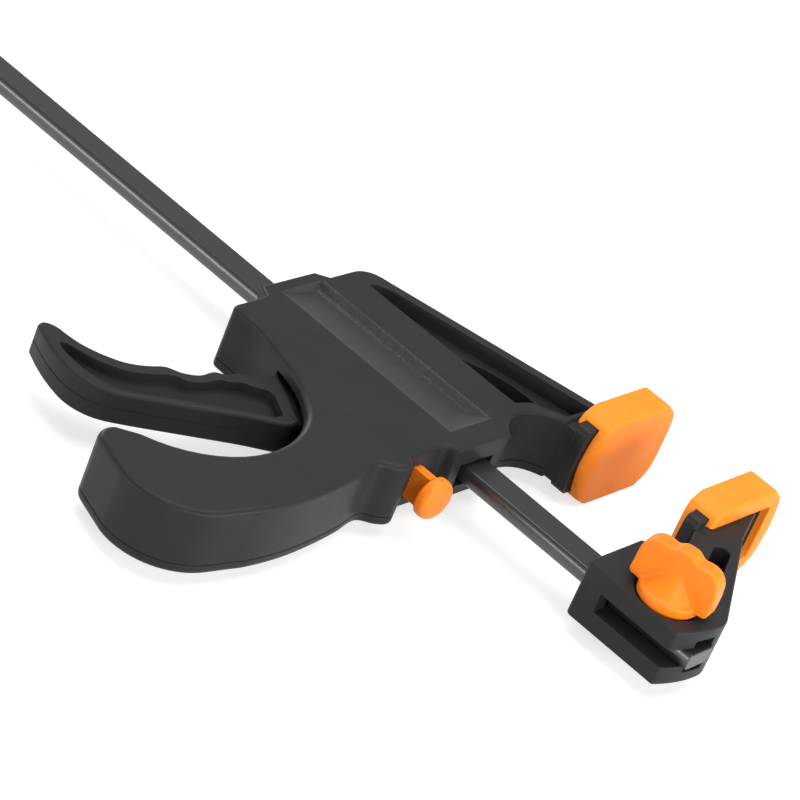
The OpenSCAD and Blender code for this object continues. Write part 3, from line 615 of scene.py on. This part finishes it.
# %% Wing knob
wing_span, wing_height, wing_half = 24.2, 13.3, 2.9
knob_floor = jaw_half - 1.1
disc_top = knob_floor + 3.5
half = wing_span / 2
knob = solid(rounded(rod((0, 0), 8.8, knob_floor, disc_top, 64), 0.7))
join(knob, rod((0, 0), 8.0, disc_top - 0.2, disc_top + 6, 64, 3.4))
crest = [(half + 1, 4), (half, 6), (half - 0.5, 8.9), (half - 2.2, 11.2), (half - 4.6, 12.1),
         (half - 6.6, 12.0), (half - 7.8, 11.85), (half - 8.8, 12.2), (2, 13.1), (0, 13.3)]
crest = [(x, disc_top + z) for x, z in smooth(crest + [(-2, 13.1)], 3)]
foot = [(8.2, disc_top - 1.1), (half - 0.7, disc_top - 0.7), (half, disc_top)]
wing = foot + crest + [(-x, z) for x, z in crest[:0:-1] + foot[::-1]]
wing = solid(slab(wing, -wing_half, wing_half, "y"))
round_rims(wing, 1.6, angle=60, segments=4, choose=lambda at, edge: at.z > disc_top + 4)
join(knob, taken_from(wing))
softened(knob, 0.28, 14)
knob.data.transform(Matrix.Translation((24.6, 0, 0)) @ Matrix.Rotation(math.radians(11), 4, "Z"))
finish_piece(knob, "wing_knob_moulding", ON_BAR, "knob", ["wing_knob"],
             [orange_plastic])

# %% [markdown]
# ## Sliding head
# The head is moulded in two halves that meet at a seam low on its side: a deep shell and a
# shallow cover. Both share one outline of body, neck, arm and grip. Every point of the outline
# carries the radius of its rim, because the grip is much rounder than the body.

# %% Head's outline
front_x, rear_x, shoulder_x = -13.0, -91.6, -87.2
arm_x, arm_top = -depth - 0.3, reach - 3.7
corner_y = arm_top - (arm_x - (shoulder_x - 1)) * math.tan(math.radians(15))
arm_reach = 7 * math.tan(math.radians(37.5))
front_edge = [(-19.2, -104.5), (-17.5, -97), (-16.1, -90.4), (-14.8, -84), (-14, -73),
              (-14.4, -62), (-15.7, -50),
              (-17.3, -42.4), (-17.2, -38.6), (-14.4, -35.4), (-12.8, -32), (-13.5, -29.4),
              (-16.6, -27.6), (-22, -27)]


def rimmed(points, radius):
    """Outline points with the radius of their rim."""
    return [(point, radius) for point in points]


head_outline = (
    rimmed(arc((shoulder_x + 2.4, -28 + 2.4), 2.4, 180, 270, 5), 1.2)
    + rimmed(smooth([(-84.8, -28), (-80.5, -28), (-77, -28.1), (-73, -28.8), (-69.5, -29.7),
                     (-65.5, -30.9), (-61, -32.2)], 2)[:-1], 1.1)
    + rimmed(smooth([(-65.5, -30.9), (-61, -32.1), (-57, -33.2), (-53, -34.8), (-49, -37),
                     (-45, -40), (-41.6, -43)], 2), 1.8)
    + rimmed(arc((-68, -65), 34.4, 42, 10, 6), 2.3)
    + rimmed(arc((-68, -65), 34.4, 4, -62, 10), 2.4)
    + rimmed(arc((-51.3, -103), 6.3, -205, -108, 8), 1.8)
    + rimmed(arc((-37.4, -92.8), 20.3, -108, -12, 20)[1:-1], 1.6)
    + rimmed(smooth(front_edge, 5), 1.6)
    + rimmed([(-16.5, -27.2), (-16.5, -15)], 1.0)
    + rimmed(arc((-14.1, -14.6), 2.4, 180, 100, 5)[1:] + [(-13, -11.4), (-13, 9.9)], 0.9)
    + rimmed(arc((-6.3, reach - 32.7), 12.4, 239, 117, 14), 1.1)
    + rimmed([(arm_x, heel - 2.5), (arm_x, arm_top)], 1.0)
    + rimmed(arc((shoulder_x + 6, corner_y - arm_reach), 7, 105, 180, 7), 1.2)
    + rimmed([(shoulder_x - 1, 13.8), (rear_x, 10.5), (rear_x, -11.2)], 1.0)
    + rimmed([(shoulder_x - 0.4, -13.2), (shoulder_x, -15.5)], 0.8))


def evened(outline, rounds=3):
    """The rims' radii run into each other instead of jumping."""
    radii = [radius for _, radius in outline]
    for _ in range(rounds):
        radii = [(radii[i - 1] + 2 * radii[i] + radii[(i + 1) % len(radii)]) / 4
                 for i in range(len(radii))]
    return [(point, radius) for (point, _), radius in zip(outline, radii)]


head_outline = evened(head_outline)
head_points = [point for point, _ in head_outline]
seam = rimmed(head_points, 0.3)
print("outline points:", len(head_points))

# %% [markdown]
# The arm behind the neck is an I-section: its pockets are cut from above and below and leave a
# web, which is thinner beside the body, inside a wide arc. The trough along the top has a floor
# that slopes down to a steep far wall, and a long ramp at its front. It is made by pushing its
# section along the bar and its side view across it, and keeping what both share. The
# mechanism's cavity lies inside, and the bar passes through from the rear to a wider mouth.

# %% Head's openings
def pocket_outline(ledge=0.0):
    """The hollow triangle in the arm, or the same set back by the width of a ledge."""
    slope = math.tan(math.radians(15))
    flange = (4.0 + ledge) / math.cos(math.radians(15))
    near, rear = 23.3 + ledge, shoulder_x + 6.4 + ledge
    neck = (-6.3, reach - 32.7)
    end = arm_x - 1.6 - ledge
    tail = [(rear, near), (rear + 0.2, near + 1.9), (rear + 1.3, near + 3.0)]
    return (tail[:1] + arc(neck, 16.6 + ledge, 172, 150, 4) + arc(neck, 14.8 + ledge, 138, 116, 4)
            + [(end, heel - 0.4), (end, arm_top + (end - arm_x) * slope - flange),
               (rear + 5, arm_top - (arm_x - rear - 5) * slope - flange)] + tail[:0:-1])


def deeper_pocket():
    """The part of the pocket beside the body, inside a wide arc."""
    shape = solid(slab(pocket_outline(0.6), 0, 8))
    combine(shape, rod((-27, -2.5), 40, -1, 9, 128), "INTERSECT")
    return shape


def trough():
    """The channel along the top: its section and its side view."""
    rear, front, deep = -87.6, -20.0, 7.4
    near_side = [(-9, 10.6), (-7.6, 10), (-4.5, 9.15), (-1.2, 8.6), (3, 8.0), (6.4, 7.6),
                 (7.6, 7.7), (8.5, 8.3), (9.2, 9.2), (10.1, 10), (11, 10)]
    section = [(-7.6, 11)] + smooth(near_side, 4) + [(10.1, 10), (10.1, 11)]
    side_view = [(rear, 11), (rear, 10), (rear + 1.6, deep), (front - 8.7, deep), (front, 10),
                 (front, 11)]
    return slab(section, rear, front, "x"), slab(side_view, -20, 20, "y")


def upside_down(bm):
    """The same shape mirrored to the other side of the bar's axis."""
    bmesh.ops.scale(bm, verts=bm.verts, vec=(1, 1, -1))
    bmesh.ops.reverse_faces(bm, faces=bm.faces)
    return bm


def cut_openings(piece, low, high):
    """Cuts the cavity of the mechanism between two levels."""
    for x, y, x2, y2 in ((-84, -6.5, -19.5, 11.5), (-79, -14, -59, -6), (-64, -25, -34.5, -5),
                         (-36, -27, -19.5, -5), (-63, -48, -34.5, -24)):
        combine(piece, box((x, y, low), (x2, y2, high)))


# %% Shell
shell = solid(slab(head_points, -7, 10))
round_by_point(shell, head_outline, 10, 3.0)
round_by_point(shell, seam, -7, 0.3, segments=2)
plate =slab(plate_shape(), -plate_back, -face - 0.1, "x")
neck_shape = [(arm_x - 1, heel - 2.5), (1 - plate_back, heel - 2.5), (1 - plate_back, reach + 5),
              (-plate_back, reach + 5), (arm_x, arm_top), (arm_x - 1, arm_top - 1)]
join(shell, slab(neck_shape, -8.9, 8.9))
join(shell, plate)
section, side_view = trough()
combine(shell, taken_from(combine(solid(section), side_view, "INTERSECT")))
combine(shell, slab(pocket_outline(), 5, 12))
combine(shell, slab(pocket_outline(), -12, -5))
deeper = deeper_pocket()
for turned in (False, True):
    cutter = bmesh.new()
    cutter.from_mesh(deeper.data)
    bmesh.ops.translate(cutter, verts=cutter.verts, vec=(0, 0, 1.2))
    combine(shell, upside_down(cutter) if turned else cutter)
bpy.data.objects.remove(deeper)
cut_openings(shell, -8, 5.9)
combine(shell, box((-93, -5.5, -2.7), (-10, 5.5, 2.7)))
combine(shell, box((-16.5, -7.25, -3.6), (-10, 6.45, 3.6)))
combine(shell, box((-20.5, -23.7, -5.2), (-15.5, -20.3, 5.2)))
tidy(shell)


def in_trough(spot):
    return 7 < spot.z < 9.97 and -87.7 < spot.x < -19.9 and -7.7 < spot.y < 10


round_rims(shell, 0.25, angle=38, segments=2, clamp=False,
           choose=lambda at, edge: edge.calc_length() > 0.6 and not in_trough(at))
for face_ in shell.data.polygons:
    if face_.normal.z > 0.2 and in_trough(face_.center):
        face_.material_index = 1
finish_piece(shell, "head_shell", ON_HEAD, "head", ["housing_shell"],
             [black_nylon, grained_nylon])

# %% Cover
cover = solid(slab(head_points, -10, -7))
round_by_point(cover, head_outline, -10, 2.6, segments=4)
round_by_point(cover, seam, -7, 0.3, segments=2)
combine(cover, slab(pocket_outline(), -12, -5))
combine(cover, box((-18, -27, -12), (-5, 10, -5)))
for x, y in ((-80, 18), (-52, 17.8), (-26, 19.4), (-77, -21.4), (-24.5, -47), (-36, -97)):
    combine(cover, rod((x, y), 2.8, -11, -8.2, 32))
    combine(cover, rod((x, y), 1.5, -11, -5, 24))
tidy(cover)
round_rims(cover, 0.2, angle=38, segments=2)
finish_piece(cover, "head_cover", ON_HEAD, "head", ["housing_cover"],
             [black_nylon])

# %% [markdown]
# ## Trigger
# The lever is hollowed from both sides, which leaves a rim and a thin web. Its front edge has
# grooves for the fingers. The lever's outline is pushed up, its rims are rounded, the hollows
# are cut, and the root with its nose, which pushes the drive plates, is joined on.

# %% Trigger
finger_side = [(-104.1, -81.3), (-101.2, -79.2), (-96.5, -78.6), (-91.9, -77.5), (-86.6, -74.9),
               (-82, -71.3), (-78.9, -66.4), (-76.8, -61.4), (-73, -58.6), (-70.4, -54.4),
               (-70.2, -49.4), (-67.9, -46.2), (-66.7, -41.6), (-63.6, -37.8), (-62.9, -33.5),
               (-62.6, -29), (-59.5, -24.5)]
palm_side = [(-47, -22), (-45.5, -28), (-44, -36), (-43.6, -42), (-44.3, -46.2), (-50.3, -53.8),
             (-57.1, -63.4), (-63.7, -72.9), (-68.6, -79.8), (-73.1, -85.4), (-77.8, -88.6),
             (-83.7, -89.9), (-91, -88.8), (-97.1, -86.9), (-101.6, -85), (-103.9, -83.7)]
lever = smooth_loop(finger_side + palm_side, 4)


# %% [markdown]
# The hollow follows the lever's outline at the width of its rim, and ends at a slanted rib. Past
# that rib the lever steps down to its root. Along the palm's side the two halves of the mould
# met, which left a fine line: a loop of edges is cut in at half height, split by a bevel, and
# its middle is drawn in a little.

# %% Trigger's lever
root_lean = math.radians(28)


def beyond_root(back, low, high):
    """Everything past the line where the lever steps down, or that line set back."""
    bm = box((-30, -back, low), (30, 30, high))
    bmesh.ops.rotate(bm, verts=bm.verts, matrix=Matrix.Rotation(-root_lean, 3, "Z"))
    bmesh.ops.translate(bm, verts=bm.verts, vec=(-50.4, -37.8, 0))
    return bm


def parting_line(obj, width=0.22, deep=0.22):
    """A fine groove round the tip and along the palm's side at half height."""
    bm = bmesh.new()
    bm.from_mesh(obj.data)
    bmesh.ops.bisect_plane(bm, geom=bm.verts[:] + bm.edges[:] + bm.faces[:], dist=0.0001,
                           plane_co=(0, 0, 0), plane_no=(0, 0, 1))
    palm = [edge for edge in bm.edges
            if all(abs(v.co.z) < 0.001 for v in edge.verts)
            and all(v.co.x < -50 and v.co.y < -1.11 * v.co.x - 107.5 + 0.35 * (v.co.x + 100)
                    or v.co.x < -98 for v in edge.verts)]
    bmesh.ops.bevel(bm, geom=palm, offset=width, offset_type="OFFSET", affect="EDGES",
                    segments=2, profile=0.5, material=-1)
    bm.normal_update()
    for vert in bm.verts:
        levels = {round(edge.other_vert(vert).co.z, 3) for edge in vert.link_edges}
        if abs(vert.co.z) < 0.001 and levels == {0, round(width, 3), round(-width, 3)}:
            vert.co -= deep * Vector((vert.normal.x, vert.normal.y, 0)).normalized()
    bm.to_mesh(obj.data)
    bm.free()


rim_finger = [(-97, -85), (-95.4, -83.6), (-93.8, -82.1), (-89.8, -80.7), (-85.4, -79.1),
              (-81.8, -76.8), (-78.6, -74), (-76.4, -70.6), (-74.7, -67.2), (-73.2, -63.4),
              (-71.2, -61.3), (-68.9, -59.9), (-67.3, -56.8), (-66.6, -53.3), (-66.2, -50.2),
              (-64.3, -47.9), (-63.0, -44.6), (-60.4, -43.0), (-58.0, -40.6)]
rim_palm = [(-47.6, -46), (-49.3, -49.2), (-52.4, -52.8), (-59, -62.1), (-65.4, -71.4),
            (-70.1, -78.6), (-73.3, -81.9), (-77.2, -84.2), (-80.9, -85.3), (-85.2, -85.6),
            (-90.4, -85.3), (-94.6, -84.6), (-98, -84)]
hollow_outline = (smooth(rim_finger, 3) + [(-58.8, -41.2), (-57.7, -39.9), (-55.9, -39.6)]
                  + [(-48.4, -43.6), (-47.7, -44.5), (-48.0, -46.5)] + smooth(rim_palm, 3))
trigger = solid(slab(lever, -5, 5))
tidy(trigger, 0.05)
round_rims(trigger, 1.1, angle=60, segments=4)
parting_line(trigger)
for turned in (False, True):
    cutter = slab(hollow_outline, 1.8, 8)
    combine(trigger, upside_down(cutter) if turned else cutter)
    step = beyond_root(0, 3.5, 8)
    combine(trigger, upside_down(step) if turned else step)
round_rims(trigger, 1.1, angle=60, segments=1, clamp=False, choose=lambda at, edge:
           abs(at.z) > 4.9
           and abs((at.x + 50.4) * math.sin(root_lean) + (at.y + 37.8) * math.cos(root_lean)) < 0.05)
nose = Vector((-52, -22)) + 13 * Vector((math.sin(math.radians(9)), math.cos(math.radians(9))))
neck = slab([(-2.4, 0), (2.4, 0), (2.4, 13), (-2.4, 13)], -5, 5)
bmesh.ops.rotate(neck, verts=neck.verts, matrix=Matrix.Rotation(math.radians(-9), 3, "Z"))
bmesh.ops.translate(neck, verts=neck.verts, vec=(-52, -22, 0))
join(trigger, rod((-52, -22), 6, -5, 5))
join(trigger, neck)
join(trigger, rod(nose, 3.5, -5, 5, 32))
combine(trigger, rod((-52, -22), 2.08, -10, 10))
tidy(trigger)
round_rims(trigger, 0.32, angle=50, segments=2, clamp=False,
           choose=lambda at, edge: abs(at.z) > 0.6)
finish_piece(trigger, "trigger_lever", ON_HEAD, "trigger", ["trigger"],
             [black_nylon])

# %% [markdown]
# ## Release button
# A round domed head on a flat stem. The head is turned like a lathe part: its profile is spun
# round the button's axis. The stem runs into the head and ends in the flange that keeps it in.

# %% Release button
profile = [(0, 0), (5.5, 0), (6.1, 0.6)] + arc((3.9, 2.2), 2.2, 0, 65, 6) + [(0, 4.7)]
bm = bmesh.new()
chain = [bm.verts.new((height, 0, out)) for out, height in profile]
edges = [bm.edges.new(pair) for pair in zip(chain, chain[1:])]
bmesh.ops.spin(bm, geom=chain + edges, cent=(0, 0, 0), axis=(1, 0, 0), angle=math.tau, steps=48,
               use_merge=True)
bmesh.ops.remove_doubles(bm, verts=bm.verts, dist=0.001)
bmesh.ops.recalc_face_normals(bm, faces=bm.faces)
button = solid(bm)
button.data.transform(Matrix.Translation((-10.5, -22, 0)))
join(button, box((-21.15, -23.5, -5), (-10, -20.5, 5)))
join(button, box((-21.15, -26.2, -5), (-19.65, -18.8, 5)))
tidy(button)
round_rims(button, 0.3, angle=35)
finish_piece(button, "release_button_moulding", ON_HEAD, "release", ["release_button"],
             [orange_plastic])

# %% [markdown]
# ## Steel parts from the frame
# The pins, nut, stud, screws, plates and springs have the right shape in the CAD model. They
# stay, and only get the finish of their steel.

# %% Steel parts
steel_parts = {
    "bar_stop_pin": bright_steel, "knob_screw": bright_steel, "knob_nut": bright_steel,
    "cover_screws": bright_steel, "trigger_pin": bright_steel,
    "drive_plate_front": plate_steel, "drive_plate_rear": plate_steel,
    "brake_plate": plate_steel, "drive_spring": spring_steel, "brake_spring": spring_steel}
for name, finish in steel_parts.items():
    obj = nodes[name]
    if not obj.material_slots:
        obj.data.materials.append(finish)
    for slot_ in obj.material_slots:
        slot_.material = finish
print("steel parts:", len(steel_parts))

# %% [markdown]
# Each of the two springs gets a coil of its own, a copy of the CAD model's, which goes with
# the head in place of the CAD node. Each is listed with its plate's joint and travel in
# millimetres, which are not used here.

# %% Springs as coils of their own
for name, joint, travel in (("drive_spring", "drive_push", 4.2),
                            ("brake_spring", "brake_tilt", 3.5)):
    wire_mesh = nodes[name].data.copy()
    wire_mesh.transform(nodes[name].matrix_world)
    coil = bpy.data.objects.new(name + "_coil", wire_mesh)
    bpy.context.scene.collection.objects.link(coil)
    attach(coil, "head")
    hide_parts(name)
    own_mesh(coil)

# %% [markdown]
# ## Floor, light and camera
# The floor is plain and pale. To the camera and to glossy rays it adds a little light of its
# own, so that it comes out nearly white and still keeps the clamp's soft shadow.

# %% Floor
floor_z = cad_bounds[0][2]
bm = bmesh.new()
bmesh.ops.create_grid(bm, x_segments=1, y_segments=1, size=6,
                      matrix=Matrix.Translation((0, 0, floor_z)))
floor = solid(bm, "floor")
pale = bpy.data.materials.new("pale floor")
pale.use_nodes = True
tree = pale.node_tree
shader = tree.nodes["Principled BSDF"]
shader.inputs["Base Color"].default_value = (0.5, 0.5, 0.5, 1)
shader.inputs["Roughness"].default_value = 0.9
shader.inputs["Specular IOR Level"].default_value = 0.1
path = add(tree, "ShaderNodeLightPath")
seen = add(tree, "ShaderNodeMath", operation="MAXIMUM")
wire(tree, path.outputs["Is Camera Ray"], seen.inputs[0])
wire(tree, path.outputs["Is Glossy Ray"], seen.inputs[1])
also = add(tree, "ShaderNodeMath", operation="MAXIMUM")
wire(tree, seen.outputs[0], also.inputs[0])
wire(tree, path.outputs["Is Transmission Ray"], also.inputs[1])
glow = add(tree, "ShaderNodeMath", operation="MULTIPLY")
glow.inputs[1].default_value = 0.68
wire(tree, also.outputs[0], glow.inputs[0])
shader.inputs["Emission Color"].default_value = (1, 1, 1, 1)
wire(tree, glow.outputs[0], shader.inputs["Emission Strength"])
floor.data.materials.append(pale)

# %% Light
world = bpy.data.worlds.new("studio")
bpy.context.scene.world = world
world.use_nodes = True
tree = world.node_tree
sky = tree.nodes["Background"]
sky.inputs["Color"].default_value = (1, 1, 1, 1)
way = add(tree, "ShaderNodeTexCoord")
height = add(tree, "ShaderNodeSeparateXYZ")
wire(tree, way.outputs["Generated"], height.inputs[0])
sweep = add(tree, "ShaderNodeMapRange")
sweep.inputs["From Min"].default_value, sweep.inputs["From Max"].default_value = 0.1, 0.5
sweep.inputs["To Min"].default_value, sweep.inputs["To Max"].default_value = 1.0, 0.25
wire(tree, height.outputs["Z"], sweep.inputs["Value"])
path = add(tree, "ShaderNodeLightPath")
mirrored = add(tree, "ShaderNodeMath", operation="MAXIMUM")
wire(tree, path.outputs["Is Glossy Ray"], mirrored.inputs[0])
wire(tree, path.outputs["Is Transmission Ray"], mirrored.inputs[1])
shown = add(tree, "ShaderNodeMath", operation="MULTIPLY")
wire(tree, mirrored.outputs[0], shown.inputs[0])
wire(tree, sweep.outputs["Result"], shown.inputs[1])
either = add(tree, "ShaderNodeMath", operation="MAXIMUM")
wire(tree, shown.outputs[0], either.inputs[0])
wire(tree, path.outputs["Is Camera Ray"], either.inputs[1])
least = add(tree, "ShaderNodeMath", operation="MAXIMUM")
least.inputs[1].default_value = 0.15
wire(tree, either.outputs[0], least.inputs[0])
wire(tree, least.outputs[0], sky.inputs["Strength"])


def softbox(name, place, target, size, power):
    """A rectangular lamp that looks at a target."""
    lamp = bpy.data.lights.new(name, "AREA")
    lamp.shape, lamp.size, lamp.size_y = "RECTANGLE", *size
    lamp.energy = power
    obj = bpy.data.objects.new(name, lamp)
    way = Vector(place) - Vector(target)
    obj.matrix_world = Matrix.Translation(place) @ way.to_track_quat("Z", "Y").to_matrix().to_4x4()
    bpy.context.scene.collection.objects.link(obj)
    return obj


middle = Vector((-0.08, -0.08, 0))
softbox("overhead", middle + Vector((0.0, 0.15, 0.9)), middle, (1.0, 1.0), 10.5)
softbox("right", middle + Vector((1.2, 0.1, 0.2)), middle, (1.2, 0.4), 12)
softbox("key", middle + Vector((0.9, -0.6, 0.55)), middle, (0.5, 0.5), 5)
softbox("left", middle + Vector((-1.2, 0.5, 0.35)), middle, (0.6, 0.3), 4)
softbox("front strip", middle + Vector((-0.53, -1.06, 0.16)), middle, (1.4, 0.1), 7)

# %% [markdown]
# The camera looks down on the clamp from its nose end, and is rolled so that the bar runs from
# the upper left to the lower right. Its axes are worked out from azimuth, elevation and roll.

# %% Camera
azimuth, elevation, roll = (math.radians(a) for a in (30.915, 30.481, 22.929))
back = Vector((math.sin(azimuth) * math.cos(elevation), -math.cos(azimuth) * math.cos(elevation),
               math.sin(elevation)))
level = Vector((math.cos(azimuth), math.sin(azimuth), 0))
upright = back.cross(level)
right = math.cos(roll) * level + math.sin(roll) * upright
up = math.cos(roll) * upright - math.sin(roll) * level
lens = bpy.data.cameras.new("camera")
lens.sensor_width, lens.lens = 36, 150.41
lens.clip_start, lens.clip_end = 0.05, 20
camera = bpy.data.objects.new("camera", lens)
camera.matrix_world = Matrix((
    (right.x, up.x, back.x, 0.33134), (right.y, up.y, back.y, -0.72963),
    (right.z, up.z, back.z, 0.46586), (0, 0, 0, 1)))
bpy.context.scene.collection.objects.link(camera)
bpy.context.scene.camera = camera
bpy.context.scene.view_settings.view_transform = "Standard"
print("camera at", [round(v, 3) for v in camera.location])
